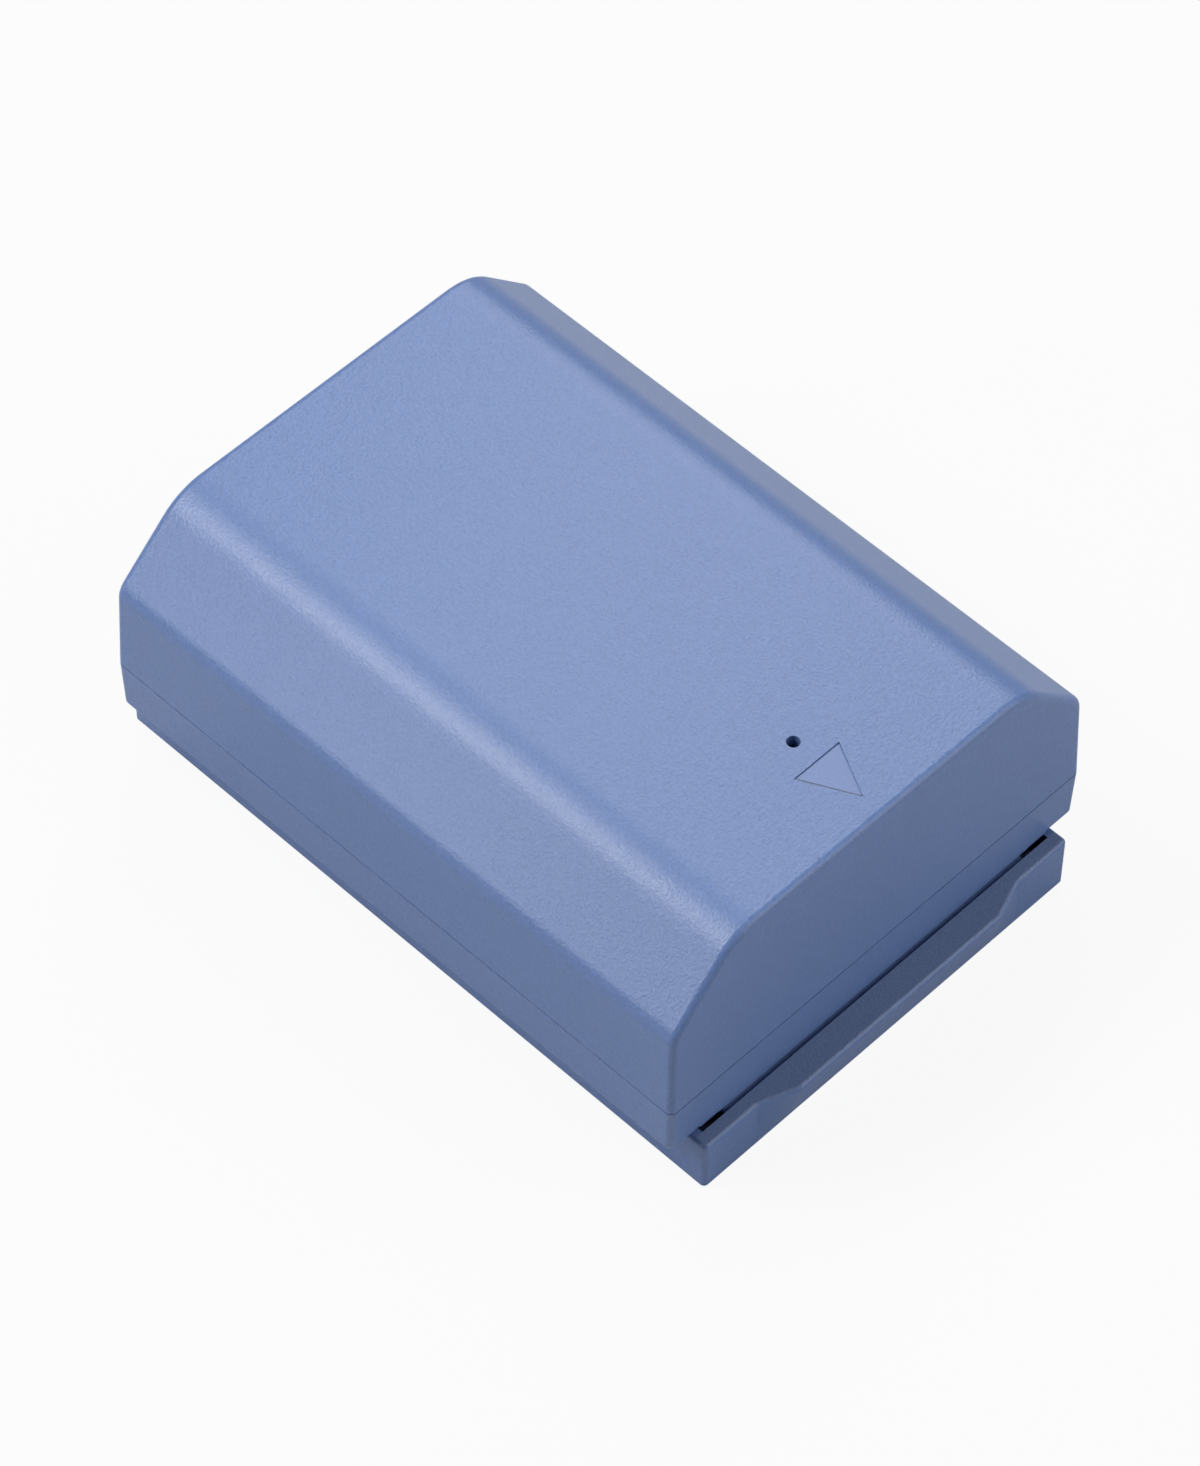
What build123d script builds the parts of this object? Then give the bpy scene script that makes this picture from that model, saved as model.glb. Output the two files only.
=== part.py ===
from build123d import *
from math import radians, sqrt, tan
import os

# Two-cell camera battery. Millimetres, +Z up, standing on its foot.
# Lengths run along X, with the contact end at +X. X = 0 is the middle of the whole
# battery and Y = 0 its middle plane. Functions work from the middle of the body, and
# place() shifts each finished piece by the reach of the finger lip.

# Cells, which set the size of the case
CELL_DIAMETER = 18.0      # over the sleeve
CELL_LENGTH = 48.0        # cap face to sleeve end
CELL_GAP = 0.06           # between the two sleeves
CELL_SIDE_CLEARANCE = 0.32
CELL_TOP_CLEARANCE = 0.35
CELL_END_ROOM = 1.05      # from a cell to the end wall, for the strips and sheets

# Walls
WALL = 1.0
END_WALL = 0.8
FOOT_WALL = 0.8
FLOOR = 1.0
SEAM_GAP = 0.1            # open joint line seen from outside
TONGUE_THICKNESS = 0.4
TONGUE_HEIGHT = 1.0
TONGUE_CLEARANCE = 0.05

# Body of the case
SEAM_Z = 9.2              # parting line between the two halves
UPPER_DRAFT = 1.8         # degrees, walls lean in above the seam
LOWER_DRAFT = 1.5         # degrees, walls lean in below the seam
CHAMFER_WIDTH = 5.7       # long chamfers, across from the wall to the top face
CHAMFER_HEIGHT = 5.78     # and down from the top face
CORNER_RADIUS = 0.5       # vertical corners and end edges
SHOULDER_RADIUS = 1.9     # blend from wall to chamfer
TOP_BLEND_RADIUS = 5.0    # blend from chamfer to top face

# Foot below the body, with the lip at the contact end
LEDGE_GAP = 0.28          # from the foot's top to the underside of the overhanging body
LEDGE_INSET = 2.03        # foot wall behind the body wall on each long side
LEDGE_EDGE_RADIUS = 0.25
FOOT_TOP_Z = 4.65
FOOT_REACH = 1.2          # foot beyond the body at each end
FOOT_CORNER_RADIUS = 0.35
FOOT_TOP_RADIUS = 0.3
FOOT_BOTTOM_BEVEL = 0.15
LIP_REACH = 1.17          # middle of the lip beyond the foot
LIP_FLAT_WIDTH = 19.0     # full-reach width of the lip
LIP_BASE_WIDTH = 25.0     # width where the lip starts to flare

# Groove and contact slots at the foot of the contact end wall
GROOVE_WIDTH = 0.25       # in front of the wall
GROOVE_DEPTH = 1.5
GROOVE_MARGIN = 0.82      # from each end of the groove to the foot's side
SLOT_WIDTH = 2.2
SLOT_CORNER_RADIUS = 0.7

# Marks in the top face
MARK_END_GAP = 2.3        # tip of the mark to the contact end
MARK_LENGTH = 4.0
MARK_HALF_WIDTH = 2.05
MARK_DEPTH = 0.1
PINHOLE_DIAMETER = 0.95
PINHOLE_GAP = 2.05        # middle of the pinhole to the base of the mark

# Cans and their sleeves and rings
SLEEVE_THICKNESS = 0.1
SLEEVE_CLEARANCE = 0.02
SLEEVE_LIP = 1.6
CAN_SHOULDER_DROP = 0.3   # crimped rim below the cap face
CAP_DIAMETER = 8.4
BEAD_SETBACK = 3.2        # rolled groove, from the cap face
BEAD_WIDTH = 1.4
BEAD_DEPTH = 0.6
RING_THICKNESS = 0.2
RING_CLEARANCE = 0.2

# Strips, sheets, tape and foam
STRIP_THICKNESS = 0.15
STRIP_WIDTH = 5.0
STRIP_BEND = 0.3
TAB_LENGTH = 2.6
LINK_HEIGHT = 7.0
WELD_DIAMETER = 1.2
WELD_SPACING = 3.0
WELD_SIDES = 8
TAP_WIDTH = 3.0
TAP_OVERLAP = 2.5
SHEET_THICKNESS = 0.15
SHEET_WIDTH = 24.0
END_SHEET_THICKNESS = 0.2
END_SHEET_MARGIN = 0.4
TAPE_THICKNESS = 0.1
TAPE_WIDTH = 10.0
FOAM_LENGTH = 9.5
FOAM_START = 6.0
FOAM_HALF_WIDTH = 4.4
FIT_CLEARANCE = 0.1       # between loose inner pieces

# Circuit board
BOARD_THICKNESS = 0.8
BOARD_FAR_ROOM = 15.5     # board edge to the far end wall
BOARD_END_GAP = 0.6       # board edge to the contact end wall
BOARD_SIDE_GAP = 0.15
BOARD_CORNER_RADIUS = 0.8
PAD_HEIGHT = 0.3          # board above the floor
PAD_SIZE = 3.0
KEY_WIDTH = 1.6           # keys on the side walls that fit notches in the board
KEY_DEPTH = 1.0
KEY_RISE = 0.3            # key above the board
KEY_CLEARANCE = 0.1
KEY_SPAN = 20.0
TALLEST_CHIP = 1.0        # height above the board

# Contacts
LEAF_THICKNESS = 0.2
LEAF_FLOOR_GAP = 0.4      # leaf above the floor of its slot
LEAF_BASE = 1.5
LEAF_BEND = 0.3
LEAF_GAP = 0.2
LEAF_SLOT_MARGIN = 0.4
BLOCK_LENGTH = 2.4
CHANNEL_DEPTH = 0.7       # channel in the block that a leaf lies in
CHANNEL_CLEARANCE = 0.1

# Temperature sensor between the cells
SENSOR_X = 9.5
SENSOR_HEAD_SIZE = 1.6
SENSOR_HEAD_BEVEL = 0.3
SENSOR_LEAD_SIZE = 0.4
SENSOR_LEAD_SPACING = 1.0
SENSOR_CLEARANCE = 0.15

# Small parts on the board
MOSFET_LENGTH = 4.4
MOSFET_WIDTH = 3.0
PROTECTION_LENGTH = 2.9
PROTECTION_WIDTH = 1.6
GAUGE_SIZE = 4.0
GAUGE_HEIGHT = 0.85
FUSE_LENGTH = 5.0
FUSE_WIDTH = 3.2
FUSE_HEIGHT = 0.9
SENSE_LENGTH = 6.3
SENSE_WIDTH = 3.1
SENSE_HEIGHT = 0.6
PASSIVE_LENGTH = 1.6      # capacitors and resistors
PASSIVE_WIDTH = 0.8
CAPACITOR_HEIGHT = 0.8
RESISTOR_HEIGHT = 0.45

# Their places, in steps of the layout grid from the board's far edge and its middle line
GRID_STEP = 0.5
MOSFET_PLACE = (26, 11)
PROTECTION_PLACE = (12, 12)
GAUGE_PLACE = (12, -11)
FUSE_PLACE = (26, -12)
SENSE_PLACE = (48, 10)
CAPACITOR_PLACES = [(19, 0), (19, 4), (19, -4), (32, 2), (32, -2), (39, -18)]
RESISTOR_PLACES = [
    (5, -16), (5, -12), (5, -8), (5, 8), (5, 12), (5, 16), (44, -8), (44, -12),
]

# Ribs
RIB_THICKNESS = 1.0
UPPER_RIB_SPAN = 40.0
UPPER_RIB_HALF_WIDTH = 5.0
LOWER_RIB_PITCH = 6.0     # from the far end wall, and from rib to rib

# Levels of the stack, from the floor up
BOARD_Z = FLOOR + PAD_HEIGHT
BOARD_TOP_Z = BOARD_Z + BOARD_THICKNESS
SHEET_Z = BOARD_TOP_Z + TALLEST_CHIP
CELL_RADIUS = CELL_DIAMETER / 2
CELL_Z = SHEET_Z + SHEET_THICKNESS + TAPE_THICKNESS + CELL_RADIUS
CAVITY_TOP_Z = CELL_Z + CELL_RADIUS + CELL_TOP_CLEARANCE

# Size of the body at the seam, its widest and longest level
BODY_LENGTH = CELL_LENGTH + 2 * (CELL_END_ROOM + END_WALL)
BODY_WIDTH = 2 * (CELL_DIAMETER + CELL_SIDE_CLEARANCE + WALL) + CELL_GAP
BODY_HEIGHT = CAVITY_TOP_Z + WALL
HALF_LENGTH = BODY_LENGTH / 2
HALF_WIDTH = BODY_WIDTH / 2
BODY_X = -LIP_REACH / 2

# Other values worked out from the sizes above
LEDGE_Z = FOOT_TOP_Z + LEDGE_GAP
SHOULDER_Z = BODY_HEIGHT - CHAMFER_HEIGHT
SHOULDER_IN = (SHOULDER_Z - SEAM_Z) * tan(radians(UPPER_DRAFT))
FOOT_HALF_LENGTH = HALF_LENGTH + FOOT_REACH
FOOT_HALF_WIDTH = HALF_WIDTH - LEDGE_INSET
FOOT_CAVITY_HALF_WIDTH = FOOT_HALF_WIDTH - FOOT_WALL
CAVITY_END_X = HALF_LENGTH - END_WALL
WALL_FOOT_X = HALF_LENGTH - (SEAM_Z - FOOT_TOP_Z) * tan(radians(LOWER_DRAFT))
MARK_TIP_X = HALF_LENGTH - MARK_END_GAP
MARK_BASE_X = MARK_TIP_X - MARK_LENGTH
GROOVE_FLOOR_Z = FOOT_TOP_Z - GROOVE_DEPTH
SLOT_OUTER_Y = FOOT_HALF_WIDTH - GROOVE_MARGIN
SLOT_Y = SLOT_OUTER_Y - SLOT_WIDTH / 2
CELL_Y = (CELL_DIAMETER + CELL_GAP) / 2
CELL_END_X = CELL_LENGTH / 2
CAN_RADIUS = CELL_RADIUS - SLEEVE_THICKNESS - SLEEVE_CLEARANCE
BOARD_END_X = CAVITY_END_X - BOARD_END_GAP
BOARD_START_X = BOARD_FAR_ROOM - CAVITY_END_X
BOARD_LENGTH = BOARD_END_X - BOARD_START_X
BOARD_X = (BOARD_START_X + BOARD_END_X) / 2
BOARD_HALF_WIDTH = FOOT_CAVITY_HALF_WIDTH - BOARD_SIDE_GAP
LEAF_WIDTH = (SLOT_WIDTH - LEAF_GAP - 2 * LEAF_SLOT_MARGIN) / 2
LEAF_Z = GROOVE_FLOOR_Z + LEAF_FLOOR_GAP
LEAF_END_X = CAVITY_END_X - CHANNEL_CLEARANCE
SENSOR_GAP_HALF = SENSOR_HEAD_SIZE / 2 + SENSOR_CLEARANCE
SENSOR_TOP_Z = CELL_Z - sqrt(CELL_RADIUS ** 2 - (CELL_Y - SENSOR_GAP_HALF) ** 2)


def place(piece):
    """Move a piece from the middle of the body to the middle of the whole battery."""
    return Pos(BODY_X, 0, 0) * piece


def box_between(x0, x1, y0, y1, z0, z1):
    """A box given by its limits on each axis."""
    centre = ((x0 + x1) / 2, (y0 + y1) / 2, (z0 + z1) / 2)
    return Pos(*centre) * Box(abs(x1 - x0), abs(y1 - y0), z1 - z0)


def across(points, length):
    """A closed outline of (y, z) points, carried along X and centred on X = 0."""
    return extrude(Plane.YZ * make_face(Polyline(*points, close=True)), length / 2, both=True)


def mirrored(points):
    """The right half of an outline from bottom to top, closed with its mirror image."""
    return points + [(-y, z) for y, z in reversed(points)]


def end_wedge(half_length, low_z, high_z, lean_low, lean_high, width):
    """A block whose two ends lean, to trim a carried outline to its drafted ends."""
    outline = [
        (half_length - lean_low, low_z),
        (half_length - lean_high, high_z),
        (-half_length + lean_high, high_z),
        (-half_length + lean_low, low_z),
    ]
    face = make_face(Polyline(*outline, close=True))
    return extrude(Plane.XZ * face, width, both=True)


def upper_outline(inset, radius_cut):
    """Section of the upper half: drafted walls, chamfers and flat top, all blended."""
    wall_lean = SHOULDER_IN / (SHOULDER_Z - SEAM_Z)
    skirt_z = SEAM_Z - 3 * WALL
    points = mirrored([
        (HALF_WIDTH + (SEAM_Z - skirt_z) * wall_lean, skirt_z),
        (HALF_WIDTH - SHOULDER_IN, SHOULDER_Z),
        (HALF_WIDTH - SHOULDER_IN - CHAMFER_WIDTH, BODY_HEIGHT),
    ])
    face = make_face(Polyline(*points, close=True))
    if inset:
        face = offset(face, -inset, kind=Kind.INTERSECTION)
    by_height = face.vertices().group_by(Axis.Y)
    face = fillet(by_height[-1], TOP_BLEND_RADIUS - radius_cut)
    shoulders = face.vertices().filter_by(lambda v: v.Y < SHOULDER_Z + WALL and v.Y > SEAM_Z)
    shoulders = shoulders.group_by(Axis.Y)[0]
    return fillet(shoulders, SHOULDER_RADIUS - radius_cut)


def upper_block(inset, end_inset):
    """Solid of the upper half down to the seam, or of its cavity when inset."""
    lean = (BODY_HEIGHT - SEAM_Z) * tan(radians(UPPER_DRAFT))
    carried = extrude(Plane.YZ * upper_outline(inset, inset), BODY_LENGTH, both=True)
    return carried & end_wedge(HALF_LENGTH - end_inset, SEAM_Z, BODY_HEIGHT, 0, lean, BODY_WIDTH)


def lower_block(inset, end_inset, floor_z):
    """Solid of the lower half from a floor level up to the seam."""
    lean = (SEAM_Z - floor_z) * tan(radians(LOWER_DRAFT))
    points = mirrored([(HALF_WIDTH - inset - lean, floor_z), (HALF_WIDTH - inset, SEAM_Z)])
    half_length = HALF_LENGTH - end_inset
    return across(points, 2 * BODY_LENGTH) & end_wedge(
        half_length, floor_z, SEAM_Z, lean, 0, BODY_WIDTH
    )


def end_edges(solid, skip_z):
    """Edges round the two end faces, apart from those that lie at one level."""
    edges = ShapeList()
    for face in solid.faces().filter_by(lambda f: abs(f.normal_at().X) > 0.9):
        edges += face.edges().filter_by(lambda e: abs(e.center().Z - skip_z) > 0.01)
    return edges


def seam_ring(margin, low_z, high_z):
    """Band on the inner half of the wall, between two levels at the seam."""
    inner = Rectangle(2 * CAVITY_END_X, BODY_WIDTH - 2 * WALL)
    outer = Rectangle(2 * (CAVITY_END_X + margin), BODY_WIDTH - 2 * WALL + 2 * margin)
    return Pos(0, 0, low_z) * extrude(outer - inner, high_z - low_z)


def cell_bore(radius, length):
    """Two cylinders along X where the cells lie."""
    discs = Pos(-CELL_Y, CELL_Z) * Circle(radius) + Pos(CELL_Y, CELL_Z) * Circle(radius)
    return extrude(Plane.YZ * discs, length / 2, both=True)


def upper_rib(x):
    """Web in the top valley between the cells, hollowed to their curve."""
    web = box_between(
        x - RIB_THICKNESS / 2, x + RIB_THICKNESS / 2,
        -UPPER_RIB_HALF_WIDTH, UPPER_RIB_HALF_WIDTH, CELL_Z + CELL_RADIUS / 2, CAVITY_TOP_Z,
    )
    return web - cell_bore(CELL_RADIUS + FIT_CLEARANCE, BODY_LENGTH)


def upper_case():
    outer = upper_block(0, 0)
    outer = fillet(end_edges(outer, SEAM_Z), CORNER_RADIUS)
    case = outer - upper_block(WALL, END_WALL)
    joint_z = SEAM_Z + SEAM_GAP / 2
    case -= box_between(
        -BODY_LENGTH, BODY_LENGTH, -BODY_WIDTH, BODY_WIDTH, SEAM_Z - TONGUE_HEIGHT, joint_z
    )
    case += seam_ring(TONGUE_THICKNESS, SEAM_Z - TONGUE_HEIGHT, joint_z)
    for side in (-1, 1):
        case += upper_rib(side * UPPER_RIB_SPAN / 2)
    pinhole = Pos(MARK_BASE_X - PINHOLE_GAP, 0, BODY_HEIGHT) * Cylinder(
        PINHOLE_DIAMETER / 2, 4 * WALL
    )
    mark = make_face(Polyline(
        (MARK_BASE_X, -MARK_HALF_WIDTH), (MARK_TIP_X, 0), (MARK_BASE_X, MARK_HALF_WIDTH),
        close=True,
    ))
    recess = Pos(0, 0, BODY_HEIGHT - MARK_DEPTH) * extrude(mark, MARK_DEPTH)
    return case - pinhole - recess


def lip():
    """Middle of the foot's contact end, flaring out from above its bottom rim to its top."""
    root_x = FOOT_HALF_LENGTH - FOOT_REACH / 2
    base, flat = LIP_BASE_WIDTH / 2, LIP_FLAT_WIDTH / 2

    def outline(reach, z):
        points = [
            (root_x, -base), (FOOT_HALF_LENGTH, -base), (FOOT_HALF_LENGTH + reach, -flat),
            (FOOT_HALF_LENGTH + reach, flat), (FOOT_HALF_LENGTH, base), (root_x, base),
        ]
        return Pos(0, 0, z) * make_face(Polyline(*points, close=True))

    return loft([outline(0, FOOT_BOTTOM_BEVEL), outline(LIP_REACH, FOOT_TOP_Z)], ruled=True)


def foot():
    """Base block with its lip, rounded at the corners and top rim, bevelled below."""
    block = extrude(Rectangle(2 * FOOT_HALF_LENGTH, 2 * FOOT_HALF_WIDTH), FOOT_TOP_Z)
    block = fillet(block.edges().filter_by(Axis.Z), FOOT_CORNER_RADIUS)
    block = chamfer(block.faces().sort_by(Axis.Z)[0].edges(), FOOT_BOTTOM_BEVEL)
    block += lip()
    return fillet(block.faces().sort_by(Axis.Z)[-1].edges(), FOOT_TOP_RADIUS)


def neck():
    """Body wall carried on down to the foot, with a rounded lower edge over the groove.
    Beside the slots it's set back under the overhanging body."""
    wall = lower_block(0, 0, FOOT_TOP_Z) & box_between(
        -BODY_LENGTH, BODY_LENGTH, -SLOT_OUTER_Y, SLOT_OUTER_Y, FOOT_TOP_Z, SEAM_Z
    )
    edges = wall.edges().filter_by(Axis.Y).group_by(Axis.Z)[0]
    wall = fillet(edges.sort_by(Axis.X)[-1], LEDGE_EDGE_RADIUS)
    set_back_x = CAVITY_END_X - END_WALL
    return wall + box_between(
        -set_back_x, set_back_x, -FOOT_HALF_WIDTH, FOOT_HALF_WIDTH,
        FOOT_TOP_Z - FOOT_TOP_RADIUS, LEDGE_Z,
    )


def contact_slot(side):
    """Opening under the end wall that leads from the groove to the contacts."""
    slot = box_between(
        CAVITY_END_X - END_WALL, WALL_FOOT_X + GROOVE_WIDTH,
        side * SLOT_OUTER_Y, side * (SLOT_OUTER_Y - SLOT_WIDTH), GROOVE_FLOOR_Z, LEDGE_Z,
    )
    inner = slot.edges().filter_by(Axis.X).group_by(Axis.Z)[-1]
    inner = inner.sort_by(lambda e: abs(e.center().Y))[0]
    return fillet(inner, SLOT_CORNER_RADIUS)


def lower_rib(x):
    """Cross web that carries the sheet in its middle and the cells at its sides."""
    web = box_between(
        x - RIB_THICKNESS / 2, x + RIB_THICKNESS / 2,
        -FOOT_CAVITY_HALF_WIDTH, FOOT_CAVITY_HALF_WIDTH, FLOOR, LEDGE_Z + WALL,
    )
    web -= cell_bore(CELL_RADIUS + FIT_CLEARANCE, BODY_LENGTH)
    half_sheet = SHEET_WIDTH / 2 + FIT_CLEARANCE
    web -= box_between(
        x - RIB_THICKNESS, x + RIB_THICKNESS, -half_sheet, half_sheet, SHEET_Z, BODY_HEIGHT
    )
    half_tap = TAP_WIDTH / 2 + FIT_CLEARANCE
    tap_z = SHEET_Z - STRIP_THICKNESS - FIT_CLEARANCE
    return web - box_between(
        x - RIB_THICKNESS, x + RIB_THICKNESS, -half_tap, half_tap, tap_z, BODY_HEIGHT
    )


def key_block(x, side, width, depth, top_z):
    """Block from the foot's inner side wall inwards, from the floor up to a level."""
    wall_y = side * FOOT_CAVITY_HALF_WIDTH
    return box_between(
        x - width / 2, x + width / 2, wall_y, wall_y - side * depth, FLOOR, top_z
    )


def key_places():
    """Length position and side of each of the four board keys."""
    return [(BOARD_X + end * KEY_SPAN / 2, side) for end in (-1, 1) for side in (-1, 1)]


def lower_case():
    outer = lower_block(0, 0, LEDGE_Z)
    outer = fillet(outer.edges().filter_by(lambda e: abs(e.tangent_at(0.5).Z) > 0.9), CORNER_RADIUS)
    outer = fillet(outer.faces().sort_by(Axis.Z)[0].edges(), LEDGE_EDGE_RADIUS)
    case = outer + neck() + foot()
    case -= lower_block(WALL, END_WALL, LEDGE_Z + WALL)
    case -= box_between(
        -CAVITY_END_X, CAVITY_END_X, -FOOT_CAVITY_HALF_WIDTH, FOOT_CAVITY_HALF_WIDTH,
        FLOOR, LEDGE_Z + 2 * WALL,
    )
    case -= seam_ring(TONGUE_THICKNESS + TONGUE_CLEARANCE, SEAM_Z - TONGUE_HEIGHT, SEAM_Z)
    case -= box_between(
        -BODY_LENGTH, BODY_LENGTH, -BODY_WIDTH, BODY_WIDTH, SEAM_Z - SEAM_GAP / 2, SEAM_Z
    )
    case -= box_between(
        WALL_FOOT_X - LEDGE_EDGE_RADIUS, WALL_FOOT_X + GROOVE_WIDTH, -SLOT_OUTER_Y, SLOT_OUTER_Y,
        GROOVE_FLOOR_Z, FOOT_TOP_Z,
    )
    for side in (-1, 1):
        case -= contact_slot(side)
    for count in (1, 2):
        case += lower_rib(count * LOWER_RIB_PITCH - CAVITY_END_X)
    for x, side in key_places():
        case += key_block(x, side, PAD_SIZE, PAD_SIZE, BOARD_Z)
        case += key_block(x, side, KEY_WIDTH, KEY_DEPTH, BOARD_TOP_Z + KEY_RISE)
    return case


def cell(side):
    """Sealed can along X with a rolled bead, a crimped rim and a cap. Its cap end is at
    the contact end on the left (side -1) and at the far end on the right (side 1)."""
    cap = CAP_DIAMETER / 2
    rim_x = CELL_END_X - CAN_SHOULDER_DROP
    bead_x = CELL_END_X - BEAD_SETBACK
    back_x = SLEEVE_THICKNESS - CELL_END_X
    outline = [
        (back_x, 0),
        (back_x, CAN_RADIUS),
        (bead_x - BEAD_WIDTH / 2, CAN_RADIUS),
        (bead_x, CAN_RADIUS - BEAD_DEPTH),
        (bead_x + BEAD_WIDTH / 2, CAN_RADIUS),
        (rim_x, CAN_RADIUS),
        (rim_x, cap),
        (CELL_END_X, cap),
        (CELL_END_X, 0),
    ]
    return cell_place(side) * revolve(make_face(Polyline(*outline, close=True)), Axis.X)


def cell_place(side):
    """Where a cell modelled along +X goes: turned end for end on the right."""
    return Pos(0, side * CELL_Y, CELL_Z) * Rot(0, 0, 0 if side < 0 else 180)


def sleeve(side):
    """Shrink sleeve: a thin tube turned in over both rims of the can."""
    inner = CELL_RADIUS - SLEEVE_THICKNESS
    front_x = CELL_END_X - CAN_SHOULDER_DROP + SLEEVE_THICKNESS
    back_x = -CELL_END_X
    lip_radius = inner - SLEEVE_LIP
    outline = [
        (back_x, lip_radius), (back_x, CELL_RADIUS), (front_x, CELL_RADIUS),
        (front_x, lip_radius), (front_x - SLEEVE_THICKNESS, lip_radius),
        (front_x - SLEEVE_THICKNESS, inner), (back_x + SLEEVE_THICKNESS, inner),
        (back_x + SLEEVE_THICKNESS, lip_radius),
    ]
    return cell_place(side) * revolve(make_face(Polyline(*outline, close=True)), Axis.X)


def insulator_ring(side):
    """Paper ring on the crimped rim, round the cap."""
    outer = CELL_RADIUS - SLEEVE_THICKNESS - SLEEVE_LIP - RING_CLEARANCE
    inner = CAP_DIAMETER / 2 + RING_CLEARANCE
    ring = Plane.YZ * (Circle(outer) - Circle(inner))
    return cell_place(side) * Pos(CELL_END_X - CAN_SHOULDER_DROP, 0, 0) * extrude(
        ring, RING_THICKNESS
    )


def weld_dots(x, y, direction):
    """Two weld dimples from a strip's face at x, reaching the can end under the sleeve."""
    dots = Part()
    for dz in (-WELD_SPACING / 2, WELD_SPACING / 2):
        dot = Plane.YZ * RegularPolygon(WELD_DIAMETER / 2, WELD_SIDES)
        dots += Pos(x, y, CELL_Z + dz) * extrude(dot, direction * SLEEVE_THICKNESS)
    return dots


def bent_strip(points, thickness, width, bend):
    """Flat strip of even thickness along (x, z) points, with the same bend radius all
    along, centred on Y = 0."""
    path = FilletPolyline(*points, radius=bend)
    face = Plane.XZ * trace(path, thickness)
    return extrude(face, width / 2, both=True)


def end_strip(side):
    """Strip from a cell end at the contact end of the pack down to the board."""
    mid = STRIP_THICKNESS / 2
    points = [
        (CELL_END_X + mid, CELL_Z + STRIP_WIDTH / 2),
        (CELL_END_X + mid, BOARD_TOP_Z + mid),
        (CELL_END_X + mid - TAB_LENGTH, BOARD_TOP_Z + mid),
    ]
    strip = Pos(0, side * CELL_Y, 0) * bent_strip(points, STRIP_THICKNESS, STRIP_WIDTH, STRIP_BEND)
    if side > 0:
        strip += weld_dots(CELL_END_X, side * CELL_Y, -1)
    return strip


def series_link():
    """Strip across the far ends of both cells."""
    face = Plane.YZ * Pos(0, CELL_Z) * SlotCenterToCenter(2 * CELL_Y, LINK_HEIGHT)
    link = Pos(-CELL_END_X - STRIP_THICKNESS, 0, 0) * extrude(face, STRIP_THICKNESS)
    return link + weld_dots(-CELL_END_X, -CELL_Y, 1)


def midpoint_strip():
    """Tap from the middle of the series link, down and along under the sheet to the board."""
    mid = STRIP_THICKNESS / 2
    down_x = -CELL_END_X - STRIP_THICKNESS - mid
    run_z = SHEET_Z - mid
    land_x = BOARD_START_X + FIT_CLEARANCE
    points = [
        (down_x, CELL_Z + TAP_OVERLAP),
        (down_x, run_z),
        (land_x - TAB_LENGTH / 2, run_z),
        (land_x, BOARD_TOP_Z + mid),
        (land_x + TAB_LENGTH, BOARD_TOP_Z + mid),
    ]
    return bent_strip(points, STRIP_THICKNESS, TAP_WIDTH, STRIP_BEND)


def end_sheet(side):
    """Insulating sheet between the strips and an end wall, cut to the case section."""
    layers = 1 if side > 0 else 2
    x = side * (CELL_END_X + layers * STRIP_THICKNESS)
    lean = (CAVITY_TOP_Z - SEAM_Z) * tan(radians(UPPER_DRAFT))
    outline = upper_outline(WALL + END_SHEET_MARGIN + lean / 4, WALL)
    window = Pos(0, (CAVITY_TOP_Z + SHEET_Z) / 2) * Rectangle(BODY_WIDTH, CAVITY_TOP_Z - SHEET_Z)
    skirt = Pos(0, (SEAM_Z + SHEET_Z) / 2) * Rectangle(SHEET_WIDTH, SEAM_Z - SHEET_Z)
    face = (outline & window) + skirt
    return Pos(x, 0, 0) * extrude(Plane.YZ * face, side * END_SHEET_THICKNESS)


def board_sheet():
    """Insulating sheet between the board and the cells, slit for the sensor's leads."""
    start_x = -CELL_END_X + FIT_CLEARANCE
    end_x = CELL_END_X - FIT_CLEARANCE
    sheet = box_between(
        start_x, end_x, -SHEET_WIDTH / 2, SHEET_WIDTH / 2, SHEET_Z, SHEET_Z + SHEET_THICKNESS
    )
    slit = Pos(SENSOR_X, 0, SHEET_Z) * Box(
        2 * SENSOR_LEAD_SIZE, SENSOR_LEAD_SPACING + 2 * SENSOR_LEAD_SIZE, WALL
    )
    return sheet - slit


def cell_tape():
    """Band of tape round both cells at the middle of their length."""
    inner = SlotCenterToCenter(2 * CELL_Y, CELL_DIAMETER)
    outer = SlotCenterToCenter(2 * CELL_Y, CELL_DIAMETER + 2 * TAPE_THICKNESS)
    band = Plane.YZ * Pos(0, CELL_Z) * (outer - inner)
    return extrude(band, TAPE_WIDTH / 2, both=True)


def foam_pads():
    """Two foam fillets that press into the top valley between the cells."""
    low_z = CELL_Z + CELL_RADIUS / 2
    pads = Part()
    for side in (-1, 1):
        start, end = sorted((side * FOAM_START, side * (FOAM_START + FOAM_LENGTH)))
        pad = box_between(start, end, -FOAM_HALF_WIDTH, FOAM_HALF_WIDTH, low_z, CAVITY_TOP_Z)
        pads += pad - cell_bore(CELL_RADIUS, BODY_LENGTH)
    return pads


def circuit_board():
    board = Rectangle(BOARD_LENGTH, 2 * BOARD_HALF_WIDTH)
    board = fillet(board.vertices(), BOARD_CORNER_RADIUS)
    board = Pos(BOARD_X, 0, BOARD_Z) * extrude(board, BOARD_THICKNESS)
    for x, side in key_places():
        board -= key_block(
            x, side, KEY_WIDTH + 2 * KEY_CLEARANCE, KEY_DEPTH + KEY_CLEARANCE, BODY_HEIGHT
        )
    return board


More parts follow.
